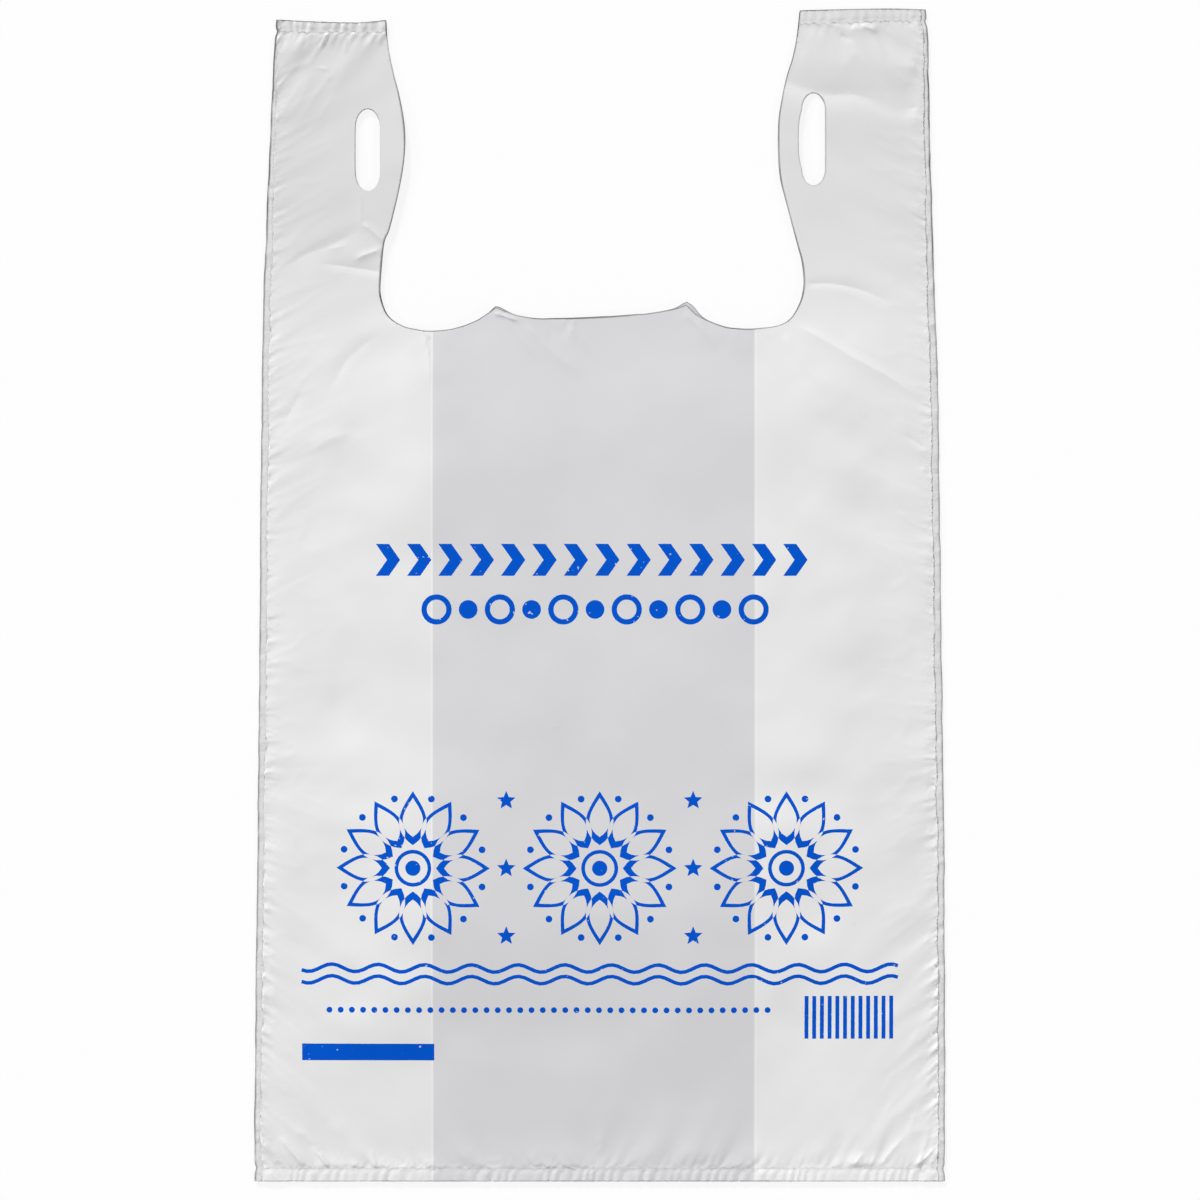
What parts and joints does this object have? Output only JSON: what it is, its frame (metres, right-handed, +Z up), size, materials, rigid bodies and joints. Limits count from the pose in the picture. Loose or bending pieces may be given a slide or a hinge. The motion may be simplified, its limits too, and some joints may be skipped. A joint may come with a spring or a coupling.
{
  "type": "plastic carrier bag",
  "caption": "Thin film carrier bag with folded side gussets, welded ends, cut-out handles with finger slots and an open mouth, lying flat.",
  "frame": {"origin": "middle of the bag's box on the surface that it lies on", "axes": "+X across the bag to the right seen from its printed front, +Y along it from the bottom weld to the handles, +Z up from its back panel through its front panel"},
  "size_m": [0.297, 0.504, 0.0107],
  "materials": {
    "film": "thin blown polyethylene film, milky white, satin, softly wrinkled, printed on the front in blue"
  },
  "bodies": {
    "root": {"carrier_bag": "film"}
  },
  "joints": []
}
